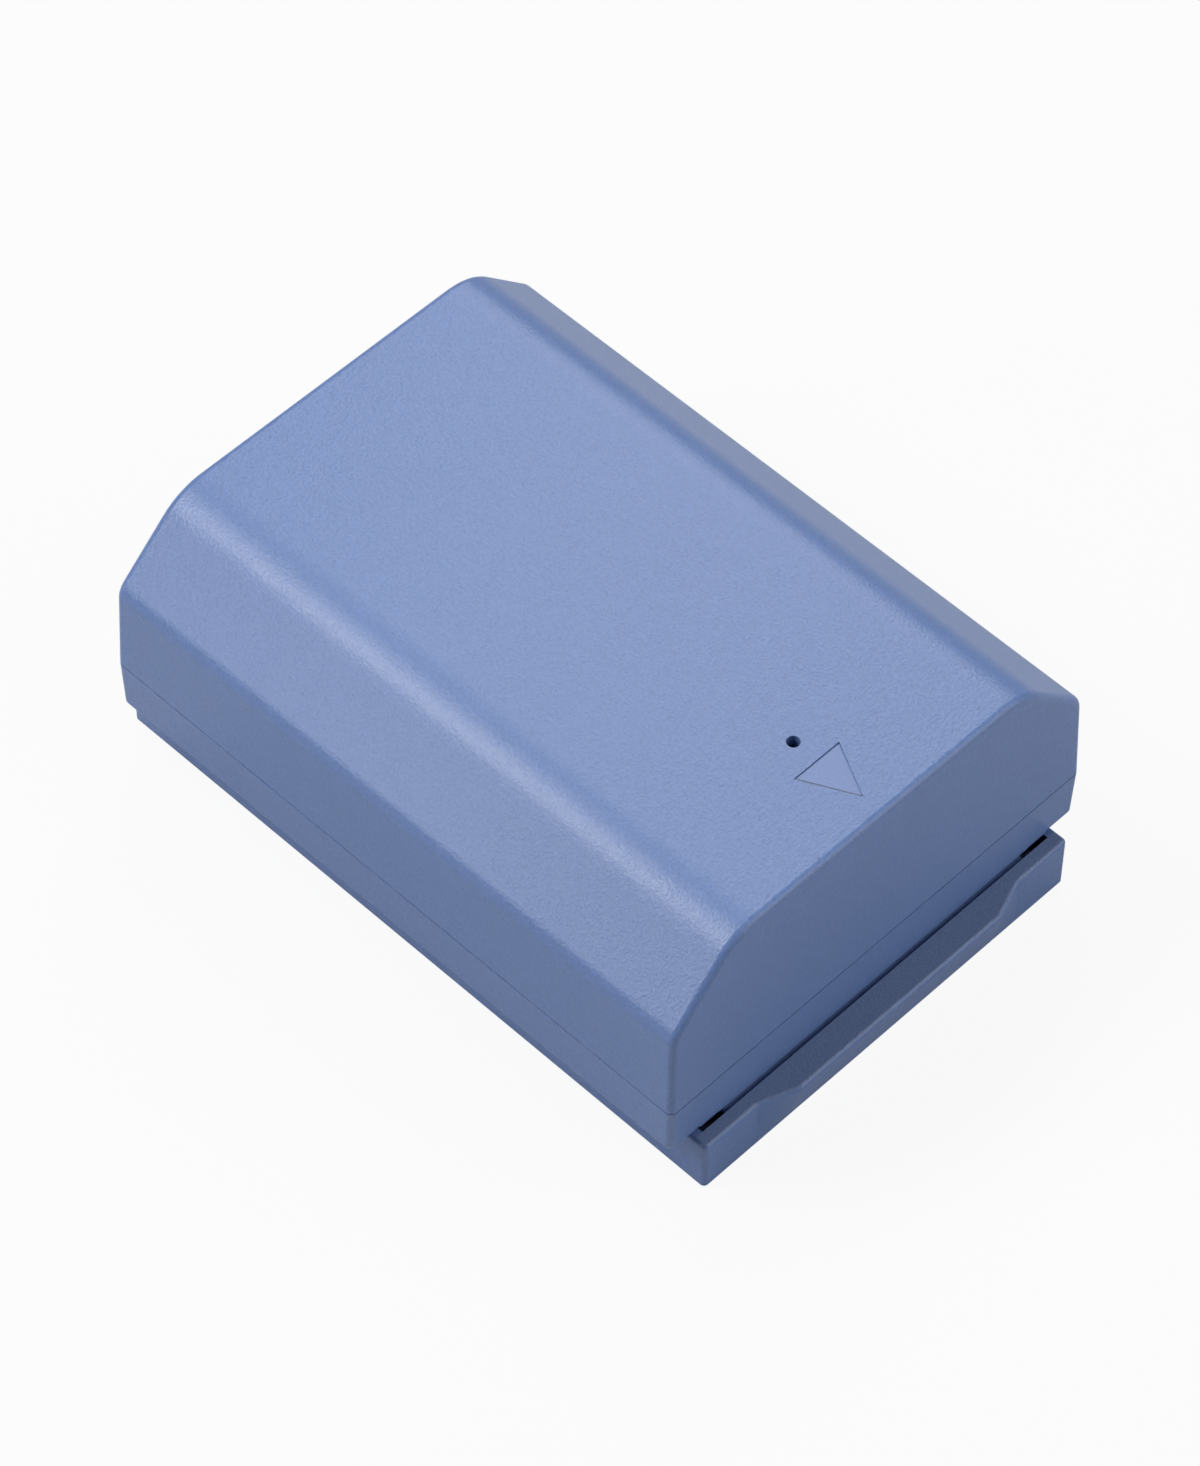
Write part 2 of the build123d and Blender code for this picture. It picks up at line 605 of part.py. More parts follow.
def on_board(column, row):
    """A place on the top of the circuit board, in steps of the layout grid."""
    return Pos(BOARD_START_X + column * GRID_STEP, row * GRID_STEP, BOARD_TOP_Z)


def leaded_chip(place, length, width, height, leads_per_side):
    """Moulded chip with gull-wing leads along its two long sides."""
    standoff = height / 8
    body = Pos(0, 0, standoff) * extrude(Rectangle(length, width), height - standoff)
    top_rim = body.faces().sort_by(Axis.Z)[-1].edges()
    body = chamfer(top_rim, height / 8)
    pitch = length / leads_per_side
    lead_width, lead_height = pitch * 0.4, height / 6
    for side in (-1, 1):
        for spot in GridLocations(pitch, 0, leads_per_side, 1).locations:
            reach = spot * Pos(0, side * width / 2, 0)
            body += reach * Pos(0, side * height / 4, height / 2) * Box(
                lead_width, height, lead_height
            )
            body += reach * Pos(0, side * height * 0.75, 0) * extrude(
                Rectangle(lead_width, height / 2), height / 2 + lead_height / 2
            )
    return on_board(*place) * body


def flat_chip(place, length, width, height):
    """Leadless block part with small bevels, such as a fuse or a resistor."""
    body = extrude(Rectangle(length, width), height)
    return on_board(*place) * chamfer(body.faces().sort_by(Axis.Z)[-1].edges(), height / 8)


def mosfet_pair():
    return leaded_chip(MOSFET_PLACE, MOSFET_LENGTH, MOSFET_WIDTH, TALLEST_CHIP, 4)


def protection_chip():
    return leaded_chip(PROTECTION_PLACE, PROTECTION_LENGTH, PROTECTION_WIDTH, TALLEST_CHIP, 3)


def passives(places, height):
    """Several equal two-ended parts, each with a pad step at both ends."""
    parts = Part()
    for spot in places:
        body = extrude(Rectangle(PASSIVE_LENGTH, PASSIVE_WIDTH), height)
        waist = Pos(0, 0, height) * Box(PASSIVE_LENGTH / 2, PASSIVE_WIDTH, height / 8)
        parts += on_board(*spot) * (body - waist)
    return parts


def temperature_sensor():
    """Dipped head on two leads that stand on the board and reach up between the cells."""
    head_z = SENSOR_TOP_Z - SENSOR_HEAD_SIZE
    head = extrude(Rectangle(SENSOR_HEAD_SIZE, SENSOR_HEAD_SIZE), SENSOR_HEAD_SIZE)
    head = Pos(SENSOR_X, 0, head_z) * chamfer(head.edges(), SENSOR_HEAD_BEVEL)
    for side in (-1, 1):
        lead = extrude(Rectangle(SENSOR_LEAD_SIZE, SENSOR_LEAD_SIZE), head_z - BOARD_TOP_Z)
        head += Pos(SENSOR_X, side * SENSOR_LEAD_SPACING / 2, BOARD_TOP_Z) * lead
    return head


def contact_leaf(side, inner):
    """Spring contact: soldered foot, riser, and an arm whose tip lies in the slot."""
    mid = LEAF_THICKNESS / 2
    riser_x = BOARD_END_X - BLOCK_LENGTH - FIT_CLEARANCE - LEAF_BEND
    points = [
        (riser_x - LEAF_BASE, BOARD_TOP_Z + mid),
        (riser_x, BOARD_TOP_Z + mid),
        (riser_x, LEAF_Z + mid),
        (LEAF_END_X, LEAF_Z + mid),
    ]
    leaf = bent_strip(points, LEAF_THICKNESS, LEAF_WIDTH, LEAF_BEND)
    step = (LEAF_WIDTH + LEAF_GAP) / 2
    y = side * (SLOT_Y - step if inner else SLOT_Y + step)
    return Pos(0, y, 0) * leaf


def contact_block(side):
    """Insulating block on the board behind a slot, with a channel for each leaf."""
    width = BOARD_HALF_WIDTH - (SLOT_OUTER_Y - SLOT_WIDTH) + LEAF_GAP
    mid_y = side * (BOARD_HALF_WIDTH - width / 2)
    block = Pos(BOARD_END_X - BLOCK_LENGTH / 2, mid_y, BOARD_TOP_Z) * extrude(
        Rectangle(BLOCK_LENGTH, width), LEAF_Z + CHANNEL_DEPTH - BOARD_TOP_Z
    )
    step = (LEAF_WIDTH + LEAF_GAP) / 2
    for y in (SLOT_Y - step, SLOT_Y + step):
        half = LEAF_WIDTH / 2 + CHANNEL_CLEARANCE
        block -= box_between(
            BOARD_END_X - 2 * BLOCK_LENGTH, BODY_LENGTH, side * (y - half), side * (y + half),
            LEAF_Z, LEAF_Z + 2 * CHANNEL_DEPTH,
        )
    return block


PIECES = {
    "upper_case": upper_case,
    "lower_case": lower_case,
    "cell_left": lambda: cell(-1),
    "cell_right": lambda: cell(1),
    "sleeve_left": lambda: sleeve(-1),
    "sleeve_right": lambda: sleeve(1),
    "insulator_ring_left": lambda: insulator_ring(-1),
    "insulator_ring_right": lambda: insulator_ring(1),
    "positive_strip": lambda: end_strip(-1),
    "negative_strip": lambda: end_strip(1),
    "series_link": series_link,
    "midpoint_strip": midpoint_strip,
    "near_end_sheet": lambda: end_sheet(1),
    "far_end_sheet": lambda: end_sheet(-1),
    "board_sheet": board_sheet,
    "cell_tape": cell_tape,
    "foam_pads": foam_pads,
    "circuit_board": circuit_board,
    "mosfet_pair": mosfet_pair,
    "protection_chip": protection_chip,
    "gauge_chip": lambda: flat_chip(GAUGE_PLACE, GAUGE_SIZE, GAUGE_SIZE, GAUGE_HEIGHT),
    "safety_fuse": lambda: flat_chip(FUSE_PLACE, FUSE_LENGTH, FUSE_WIDTH, FUSE_HEIGHT),
    "sense_resistor": lambda: flat_chip(SENSE_PLACE, SENSE_LENGTH, SENSE_WIDTH, SENSE_HEIGHT),
    "capacitors": lambda: passives(CAPACITOR_PLACES, CAPACITOR_HEIGHT),
    "resistors": lambda: passives(RESISTOR_PLACES, RESISTOR_HEIGHT),
    "temperature_sensor": temperature_sensor,
    "positive_contact": lambda: contact_leaf(-1, False),
    "sensor_contact": lambda: contact_leaf(-1, True),
    "negative_contact": lambda: contact_leaf(1, False),
    "data_contact": lambda: contact_leaf(1, True),
    "contact_block_left": lambda: contact_block(-1),
    "contact_block_right": lambda: contact_block(1),
}


def main():
    os.makedirs("parts", exist_ok=True)
    for name, build in PIECES.items():
        piece = place(build())
        export_step(piece, f"parts/{name}.step")


if __name__ == "__main__":
    main()
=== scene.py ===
import math
from functools import cached_property

import bpy
import numpy as np
from bpy.props import FloatProperty, FloatVectorProperty, PointerProperty
from mathutils import Matrix, Vector


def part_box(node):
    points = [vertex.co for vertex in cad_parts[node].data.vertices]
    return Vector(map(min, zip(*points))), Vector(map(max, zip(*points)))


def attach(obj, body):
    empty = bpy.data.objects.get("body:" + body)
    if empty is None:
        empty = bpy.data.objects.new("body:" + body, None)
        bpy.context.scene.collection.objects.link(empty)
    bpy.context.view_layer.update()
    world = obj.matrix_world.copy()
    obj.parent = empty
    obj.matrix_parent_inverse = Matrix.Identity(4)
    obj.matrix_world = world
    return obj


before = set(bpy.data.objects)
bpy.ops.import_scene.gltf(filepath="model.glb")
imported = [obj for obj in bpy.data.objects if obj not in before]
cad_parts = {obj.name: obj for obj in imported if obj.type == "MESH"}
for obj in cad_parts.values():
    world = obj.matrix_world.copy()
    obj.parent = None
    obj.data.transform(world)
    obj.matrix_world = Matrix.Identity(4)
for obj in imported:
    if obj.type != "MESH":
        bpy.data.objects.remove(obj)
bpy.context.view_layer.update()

bl_info = {
    "name": "Camera Battery",
    "version": (1, 0, 0),
    "blender": (4, 5, 0),
    "location": "3D View > Sidebar > Battery",
    "description": "Finishes a two-cell camera battery and sets a plain stage round it",
    "category": "Object",
}

BODY = "root"
MM = 0.001
CASE_LOW, CASE_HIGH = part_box("upper_case")
CONTACTS = ("positive_contact", "sensor_contact", "negative_contact", "data_contact")

# Plain colours of the metals
STEEL = (0.56, 0.55, 0.53)
NICKEL = (0.64, 0.61, 0.56)
GOLD = (0.83, 0.58, 0.22)
TIN = (0.72, 0.72, 0.7)

# The direction mark in the top face: a triangle whose tip points to the contact end
MARK_TIP_X = CASE_HIGH.x - 2.3 * MM
MARK_LENGTH = 4.0 * MM
MARK_HALF_WIDTH = 2.05 * MM
MARK_SPREAD = MARK_HALF_WIDTH / MARK_LENGTH
MARK_LEAN = MARK_LENGTH / math.hypot(MARK_LENGTH, MARK_HALF_WIDTH)
MARK_LOWEST_Z = CASE_HIGH.z - 0.3 * MM
# Painted shadow: a dark line of this half width and shade along the mark's -y side, standing in
# for the shade of the recess's step
MARK_SHADOW_LINE_HALF = 0.08 * MM
MARK_PAINTED_SHADOW_SHADE = 0.3

# The moulded grain: how far it darkens and lightens the plastic, beside a cloudy pattern
GRAIN_CONTRAST = 0.26
GRAIN_SHARE = 0.9
CLOUD_SHARE = 0.1
CLOUD_PER_GRAIN = 60

# The flat top of the foot and its lip, where a painted greyish reflection makes it a little
# greyer than the rest
FOOT_TOP_Z = 4.65 * MM
FOOT_TOP_BAND = 0.05 * MM
FOOT_TOP_FADE = 0.02 * MM
LIP_REFLECTION_GREY = (0.32, 0.37, 0.44)
LIP_REFLECTION_SHARE = 0.3

# The web in the groove between the contact slots, its x from the lip's tip
GROOVE_BACK = 2.67 * MM
GROOVE_FRONT = 2.13 * MM
WEB_HALF_LENGTH = 14.25 * MM
WEB_FLOOR_Z = 3.9 * MM
WEB_TOP_Z = 4.37 * MM
WEB_SAG = 0.05 * MM

# Patterns of the other finishes: their sizes and slope, then how high they stand
STREAK_SIZE = 0.4 * MM
STAIN_SIZE = 3 * MM
WRINKLE_SIZE = 2.5 * MM
HAZE_SIZE = 0.5 * MM
FIBRE_SIZE = 0.3 * MM
FOAM_CELL_SIZE = 0.35 * MM
FOAM_WALL_SLOPE = 4
WEAVE_SIZE = 0.25 * MM
PACKAGE_GRAIN_SIZE = 0.1 * MM
FLOW_SIZE = 0.8 * MM
SOLDER_WAVE_SIZE = 0.6 * MM
STREAK_DEPTH = 0.004 * MM
WRINKLE_DEPTH = 0.05 * MM
FIBRE_DEPTH = 0.02 * MM
FOAM_DEPTH = -0.08 * MM
TRACK_DEPTH = 0.03 * MM
PACKAGE_DEPTH = 0.01 * MM
SOLDER_DEPTH = 0.03 * MM

# Detail and roughness of a noise with fine lumps on its large ones
FINE = (3.0, 0.6)

# Which way a pattern is drawn out, as the scale of its coordinates
ALONG_X = (0.05, 1, 1)
ALONG_Z = (1, 1, 0.05)
WRINKLES_ALONG_X = (0.25, 1, 1)
FIBRES_ALONG_Y = (1, 0.2, 1)
FIBRES_ALONG_Z = (1, 1, 0.2)

# The board: lanes of copper tracks, plated holes and the weave of its laminate
LANE_SIZE = 3.2 * MM
LANES_ALONG_X = (0.4, 1, 1)
TRACK_PITCH = 0.5 * MM
LANE_SHIFT = 3
TRACK_GAP = 0.45
TRACK_EDGE = 0.04
BARE_LANES = 0.35
HOLE_PITCH = 4.5 * MM
HOLE_SHARE = 0.1
WEAVE_SHARE = 0.25
WEAVE_SHADE = 0.7

# Parts on the board: how dull they are, and where their metal starts
LEAD_REACH = 1.0 * MM
LEAD_EDGE = 0.02 * MM
METAL_ROUGHNESS = 0.3
PACKAGE_ROUGHNESS = 0.6
FUSE_ROUGHNESS = 0.45
BEAD_ROUGHNESS = 0.3
GAUGE_LEADS_DROP = 0.8 * MM
SENSOR_LEADS_DROP = 1.6 * MM
RESISTOR_CAPS_DROP = 0.01 * MM
CAPACITOR_CAPS_DROP = 0.02 * MM
FUSE_CAP_SHARE = 0.18
SENSE_CAP_SHARE = 0.16

# Solder joints under the strips and the contact leaves
STRIP_JOINT_REACH = 0.7 * MM
LEAF_JOINT_REACH = 0.5 * MM
LEAF_JOINT_WIDTH = 0.8


# Shader nodes

class Value:
    """A node's output. Arithmetic on values adds Math nodes to the same material."""

    def __init__(self, shader, socket):
        self.shader = shader
        self.socket = socket

    def math(self, operation, *others, clamp=False):
        """Adds a Math node that takes this value first and then the others."""
        settings = {"operation": operation, "use_clamp": clamp}
        return self.shader.add("ShaderNodeMath", settings, dict(enumerate((self, *others))))

    def __add__(self, other):
        return self.math("ADD", other)

    def __sub__(self, other):
        return self.math("SUBTRACT", other)

    def __mul__(self, other):
        return self.math("MULTIPLY", other)

    def __radd__(self, other):
        return self + other

    def __rmul__(self, other):
        return self * other

    def __rsub__(self, other):
        return self.shader.add(
            "ShaderNodeMath", {"operation": "SUBTRACT"}, {0: other, 1: self}
        )

    def above(self, limit, softness=0.0):
        """1 where this value is over the limit, with a soft step if asked."""
        if not softness:
            return self.math("GREATER_THAN", limit)
        return self.shader.add(
            "ShaderNodeMapRange",
            {"interpolation_type": "SMOOTHSTEP"},
            {"Value": self, "From Min": limit - softness, "From Max": limit + softness},
        )

    def below(self, limit, softness=0.0):
        """1 where this value is under the limit, with a soft step if asked."""
        return 1 - self.above(limit, softness)


class Shader:
    """The nodes of one material or world, built from its coordinates to its output."""

    def __init__(self, owner):
        self.owner = owner
        owner.use_nodes = True
        self.tree = owner.node_tree
        self.tree.nodes.clear()

    def add(self, kind, settings, inputs, output=0):
        """Adds a node, sets it up, then gives its sockets their values or links."""
        node = self.tree.nodes.new(kind)
        for key, value in settings.items():
            setattr(node, key, value)
        for key, value in inputs.items():
            if isinstance(value, Value):
                self.tree.links.new(value.socket, node.inputs[key])
            else:
                node.inputs[key].default_value = value
        return Value(self, node.outputs[output]) if len(node.outputs) else None

    @cached_property
    def place(self):
        """Coordinates on the object, in metres."""
        return self.add("ShaderNodeTexCoord", {}, {}, "Object")

    def light_path(self, kind):
        """1 for the light rays of one kind."""
        return self.add("ShaderNodeLightPath", {}, {}, kind)

    def noise(self, size, detail=2.0, roughness=0.5, place=None):
        """Cloudy pattern from 0 to 1 whose lumps are about the given size in metres."""
        inputs = {
            "Vector": place or self.place, "Scale": 1 / size,
            "Detail": detail, "Roughness": roughness,
        }
        return self.add("ShaderNodeTexNoise", {}, inputs, "Fac")

    def cells(self, size, feature="F1", output="Distance", place=None):
        """Voronoi pattern whose cells are about the given size in metres."""
        inputs = {"Vector": place or self.place, "Scale": 1 / size}
        return self.add("ShaderNodeTexVoronoi", {"feature": feature}, inputs, output)

    def stretched(self, factors):
        """Coordinates scaled along each axis, for patterns with a direction."""
        return self.add("ShaderNodeMapping", {}, {"Vector": self.place, "Scale": factors})

    def parts(self, vector=None):
        """The three parts of a vector or colour, which are a place's x, y and z if none."""
        split = self.add("ShaderNodeSeparateXYZ", {}, {"Vector": vector or self.place})
        return [Value(self, output) for output in split.socket.node.outputs]

    def blend(self, factor, first, second):
        """Colour that goes from the first to the second as the factor goes from 0 to 1."""
        return self.add(
            "ShaderNodeMix", {"data_type": "RGBA"}, {0: factor, 6: first, 7: second}, 2
        )

    def mottle(self, pattern, colour, low, high=1.0):
        """Colour in two shades of itself, the second where the pattern is 1."""
        return self.blend(pattern, opaque(colour, low), opaque(colour, high))

    def bump(self, height, depth):
        """Normal of a surface whose height pattern is so deep, in metres."""
        return self.add("ShaderNodeBump", {}, {"Height": height, "Distance": depth}, "Normal")

    def finish(self, inputs):
        """Ends the material in one Principled surface."""
        return self.end(self.add("ShaderNodeBsdfPrincipled", {}, inputs, "BSDF"))

    def end(self, surface, kind="ShaderNodeOutputMaterial"):
        """Links the surface to the output, and gives back the material or world."""
        self.add(kind, {}, {"Surface": surface})
        return self.owner


def new_shader(name):
    """The empty nodes of a new material."""
    return Shader(bpy.data.materials.new(name))


def varied(level, pattern, spread):
    """A level that a pattern from 0 to 1 lowers and raises by half a spread."""
    return level + (pattern - 0.5) * spread


def opaque(colour, shade=1.0):
    """A colour as four channels, darkened or lightened by a factor."""
    return (*[channel * shade for channel in colour], 1.0)


def give(material, *names):
    """Puts a material in every slot of some carried-over nodes."""
    for name in names:
        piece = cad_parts[name]
        for index in range(len(piece.material_slots)):
            piece.material_slots[index].material = material


# Materials

def mark_depth(shader):
    """How far inside the direction mark's outline a place on the top face is."""
    x, y, z = shader.parts()
    from_tip = MARK_TIP_X - x
    from_sides = (from_tip * MARK_SPREAD - y.math("ABSOLUTE")) * MARK_LEAN
    depth = from_sides.math("MINIMUM", MARK_LENGTH - from_tip)
    return depth - z.below(MARK_LOWEST_Z)


def mark_side_painted_shadow(shader):
    """1 along the mark's side towards -y, where the light leaves no shadow of its own, so a
    dark line is painted there as shadow.
    """
    x, y, z = shader.parts()
    from_tip = MARK_TIP_X - x
    from_side = (from_tip * MARK_SPREAD + y) * MARK_LEAN
    near = from_side.math("ABSOLUTE").below(MARK_SHADOW_LINE_HALF, MARK_SHADOW_LINE_HALF / 2)
    along = from_tip.above(0) * from_tip.below(MARK_LENGTH)
    return near * along * z.above(MARK_LOWEST_Z)


def lip_top_mask(shader):
    """1 on the flat top of the foot and its lip, in front of the body."""
    x, _, z = shader.parts()
    level = (z - FOOT_TOP_Z).math("ABSOLUTE").below(FOOT_TOP_BAND, FOOT_TOP_FADE)
    return level * x.above(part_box("lower_case")[1].x - GROOVE_FRONT)


def case_material(name, look, marked=False):
    """Matte moulded plastic with a fine grain; if marked, smooth in the mark's recess with a
    painted shadow line along its -y side, else with a painted greyish reflection on the foot's
    flat top.
    """
    shader = new_shader(name)
    grain = shader.noise(look.grain_size, roughness=0.6)
    cloud = shader.noise(look.grain_size * CLOUD_PER_GRAIN, detail=3.0)
    shade = grain * GRAIN_SHARE + cloud * CLOUD_SHARE
    colour = shader.mottle(shade, look.colour, 1 - GRAIN_CONTRAST, 1 + GRAIN_CONTRAST)
    if marked:
        height = grain * (1 - mark_depth(shader).above(0))
        # Painted shadow line along the mark's -y side, darkening the plastic's colour
        colour = shader.blend(mark_side_painted_shadow(shader), colour, opaque(look.colour, MARK_PAINTED_SHADOW_SHADE))
    else:
        height = grain
        # Painted reflection: the foot's flat top is blended towards grey, for the whiter light
        # it reflects from above
        painted_reflection = lip_top_mask(shader) * LIP_REFLECTION_SHARE
        colour = shader.blend(painted_reflection, colour, opaque(LIP_REFLECTION_GREY))
    return shader.finish({
        "Base Color": colour,
        "Roughness": varied(look.roughness, grain, 0.1),
        "IOR": look.gloss_index,
        "Normal": shader.bump(height, look.grain_depth),
    })


def metal_material(name, colour, roughness, stretch, stain=0.85):
    """Rolled or drawn metal: fine streaks along its grain and faint clouded stains."""
    shader = new_shader(name)
    streaks = shader.noise(STREAK_SIZE, *FINE, shader.stretched(stretch))
    cloud = shader.noise(STAIN_SIZE, detail=4.0)
    return shader.finish({
        "Base Color": shader.mottle(cloud, colour, stain),
        "Metallic": 1.0,
        "Roughness": varied(varied(roughness, streaks, 0.2), cloud, 0.1),
        "Normal": shader.bump(streaks, STREAK_DEPTH),
    })


def film_material(name, colour, roughness, clearness):
    """Shrink film or tape: long soft wrinkles in a glossy skin over a matt back."""
    shader = new_shader(name)
    wrinkles = shader.noise(WRINKLE_SIZE, place=shader.stretched(WRINKLES_ALONG_X))
    haze = shader.noise(HAZE_SIZE)
    return shader.finish({
        "Base Color": shader.mottle(haze, colour, low=0.88, high=1.08),
        "Roughness": varied(roughness, haze, 0.15),
        "Coat Weight": clearness,
        "Coat Roughness": 0.15,
        "Normal": shader.bump(wrinkles, WRINKLE_DEPTH),
    })


def card_material(name, colour):
    """Pressed fibre card: crossing fibres that mottle the colour and lift the surface."""
    shader = new_shader(name)
    one_way = shader.noise(FIBRE_SIZE, *FINE, shader.stretched(FIBRES_ALONG_Y))
    other_way = shader.noise(FIBRE_SIZE, *FINE, shader.stretched(FIBRES_ALONG_Z))
    fibres = one_way.math("MAXIMUM", other_way)
    return shader.finish({
        "Base Color": shader.mottle(fibres, colour, low=0.8, high=1.12),
        "Roughness": varied(0.8, fibres, 0.1),
        "Normal": shader.bump(fibres, FIBRE_DEPTH),
    })


def foam_material(name, colour):
    """Closed-cell foam: small round cells with thin lighter walls that stand out."""
    shader = new_shader(name)
    from_wall = shader.cells(FOAM_CELL_SIZE, "DISTANCE_TO_EDGE")
    hollow = from_wall.math("MULTIPLY", FOAM_WALL_SLOPE, clamp=True)
    return shader.finish({
        "Base Color": shader.mottle(hollow, colour, low=1.5),
        "Roughness": 0.95,
        "Normal": shader.bump(hollow, FOAM_DEPTH),
    })


def board_material(name, look):
    """Green laminate: copper tracks under the mask, with small plated holes."""
    shader = new_shader(name)
    lanes = shader.cells(LANE_SIZE, "F1", "Color", shader.stretched(LANES_ALONG_X))
    lane = shader.parts(lanes)[0]
    wave = (shader.parts()[1] * (1 / TRACK_PITCH) + lane * LANE_SHIFT).math("FRACT")
    track = wave.above(TRACK_GAP, TRACK_EDGE) * lane.above(BARE_LANES)
    plated = shader.cells(HOLE_PITCH).below(HOLE_SHARE)
    copper = shader.blend(track, opaque(look.mask_colour), opaque(look.track_colour))
    weave = shader.noise(WEAVE_SIZE)
    shade = shader.blend(weave * WEAVE_SHARE, copper, opaque(look.mask_colour, WEAVE_SHADE))
    return shader.finish({
        "Base Color": shader.blend(plated, shade, opaque(TIN)),
        "Metallic": plated,
        "Roughness": 0.35 + weave * 0.1,
        "Normal": shader.bump(track + plated, TRACK_DEPTH),
    })


def package_material(name, colour, metal_mask, roughness):
    """Moulded or ceramic part body with tinned metal where the mask is 1."""
    shader = new_shader(name)
    grain = shader.noise(PACKAGE_GRAIN_SIZE, *FINE)
    metal = metal_mask(shader)
    body = shader.mottle(grain, colour, low=0.75, high=1.25)
    dullness = roughness - metal * (roughness - METAL_ROUGHNESS)
    return shader.finish({
        "Base Color": shader.blend(metal, body, opaque(TIN)),
        "Metallic": metal,
        "Roughness": varied(dullness, grain, 0.1),
        "Normal": shader.bump(grain, PACKAGE_DEPTH),
    })


def case_block_material(name, colour):
    """Plain moulded plastic with a faint flow mottle."""
    shader = new_shader(name)
    flow = shader.noise(FLOW_SIZE, detail=3.0)
    return shader.finish({
        "Base Color": shader.mottle(flow, colour, low=0.8, high=1.3),
        "Roughness": 0.45 + flow * 0.15,
        "Normal": shader.bump(flow, PACKAGE_DEPTH),
    })


def solder_material(name):
    """Bright tin solder, a little dull and wavy where it froze."""
    shader = new_shader(name)
    waves = shader.noise(SOLDER_WAVE_SIZE)
    return shader.finish({
        "Base Color": shader.mottle(waves, TIN, low=0.85),
        "Metallic": 1.0,
        "Roughness": 0.22 + waves * 0.15,
        "Normal": shader.bump(waves, SOLDER_DEPTH),
    })


# Masks of the metal on the board's parts, each 1 where it shows

def leads_mask(node, reach):
    """Mask of the leads that stand out by a reach on both long sides of a chip."""
    low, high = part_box(node)
    middle, half = (low.y + high.y) / 2, (high.y - low.y) / 2 - reach

    def mask(shader):
        return (shader.parts()[1] - middle).math("ABSOLUTE").above(half + LEAD_EDGE)

    return mask


def caps_mask(node, share):
    """Mask of the end caps that take a share of a part's length at each end."""
    low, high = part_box(node)
    middle, half = (low.x + high.x) / 2, (high.x - low.x) / 2

    def mask(shader):
        return (shader.parts()[0] - middle).math("ABSOLUTE").above(half * (1 - 2 * share))

    return mask


def top_mask(node, drop):
    """Mask of everything less than a drop under a node's highest level."""
    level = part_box(node)[1].z - drop
    return lambda shader: shader.parts()[2].above(level)


def below_mask(node, drop):
    """Mask of everything more than a drop under a node's highest level."""
    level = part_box(node)[1].z - drop
    return lambda shader: shader.parts()[2].below(level)


# New pieces

def solder_joint(centre, radius_x, radius_y, height, rings=10, spokes=32):
    """Surface of one solder joint, as vertices and faces.

    A point at ring r (0 at the top, 1 at the rim) and angle a is at
    (cx + rx r cos a, cy + ry r sin a, cz + h (1 - r^2)^1.5), which meets the board
    with no slope like solder that has wetted it. A flat disc closes it below.
    """
    ring = np.linspace(0, 1, rings + 1)[1:, None]
    angle = np.linspace(0, 2 * np.pi, spokes, endpoint=False)[None, :]
    x = centre[0] + radius_x * ring * np.cos(angle)
    y = centre[1] + radius_y * ring * np.sin(angle)
    z = centre[2] + height * (1 - ring ** 2) ** 1.5 + 0 * angle
    top = np.array([[centre[0], centre[1], centre[2] + height]])
    points = np.concatenate([top, np.stack([x, y, z], 2).reshape(-1, 3)])
    here = np.arange(spokes)
    after = (here + 1) % spokes
    fan = np.stack([0 * here, 1 + here, 1 + after], 1)
    level = (1 + spokes * np.arange(rings - 1))[:, None]
    inner, inner_after = level + here, level + after
    quads = np.stack([inner, inner + spokes, inner_after + spokes, inner_after], 2)
    rim = 1 + spokes * (rings - 1) + here[::-1]
    return points, fan.tolist() + quads.reshape(-1, 4).tolist() + [rim.tolist()]


def groove_web(low, high, sag, rows=8, columns=61):
    """Surface of the web that closes the groove above the slots' floor.

    Across the groove u runs from -1 to 1, and the top is at z = high - sag (1 - u^2).
    Two ends, two sides and a floor at the low level close it.
    """
    u = np.linspace(-1, 1, rows + 1)[:, None]
    along = np.linspace(low[1], high[1], columns)[None, :]
    x = low[0] + (high[0] - low[0]) * (u + 1) / 2 + 0 * along
    z = high[2] - sag * (1 - u ** 2) + 0 * along
    top = np.stack([x, along + 0 * u, z], 2).reshape(-1, 3)
    floor = top * (1, 1, 0) + (0, 0, low[2])
    row, column = np.arange(rows)[:, None], np.arange(columns - 1)[None, :]
    corner = (row * columns + column).reshape(-1)
    quads = np.stack([corner, corner + columns, corner + columns + 1, corner + 1], 1)
    edge = np.concatenate([
        np.arange(columns), columns * np.arange(2, rows + 1) - 1,
        columns * (rows + 1) - 1 - np.arange(columns), columns * np.arange(rows - 1, 0, -1),
    ])
    after = np.roll(edge, -1)
    walls = np.stack([edge, after, after + len(top), edge + len(top)], 1)
    faces = quads.tolist() + (quads[:, ::-1] + len(top)).tolist() + walls.tolist()
    return np.concatenate([top, floor]), faces


def add_surface(name, parts, material):
    """One smooth mesh object from several (points, faces) surfaces, riding the body."""
    points, faces, start = [], [], 0
    for part_points, part_faces in parts:
        points.append(part_points)
        faces += [[start + corner for corner in face] for face in part_faces]
        start += len(part_points)
    mesh = bpy.data.meshes.new(name)
    mesh.from_pydata(np.concatenate(points).tolist(), [], faces)
    mesh.shade_smooth()
    mesh.materials.append(material)
    piece = bpy.data.objects.new(name, mesh)
    bpy.context.scene.collection.objects.link(piece)
    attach(piece, BODY)


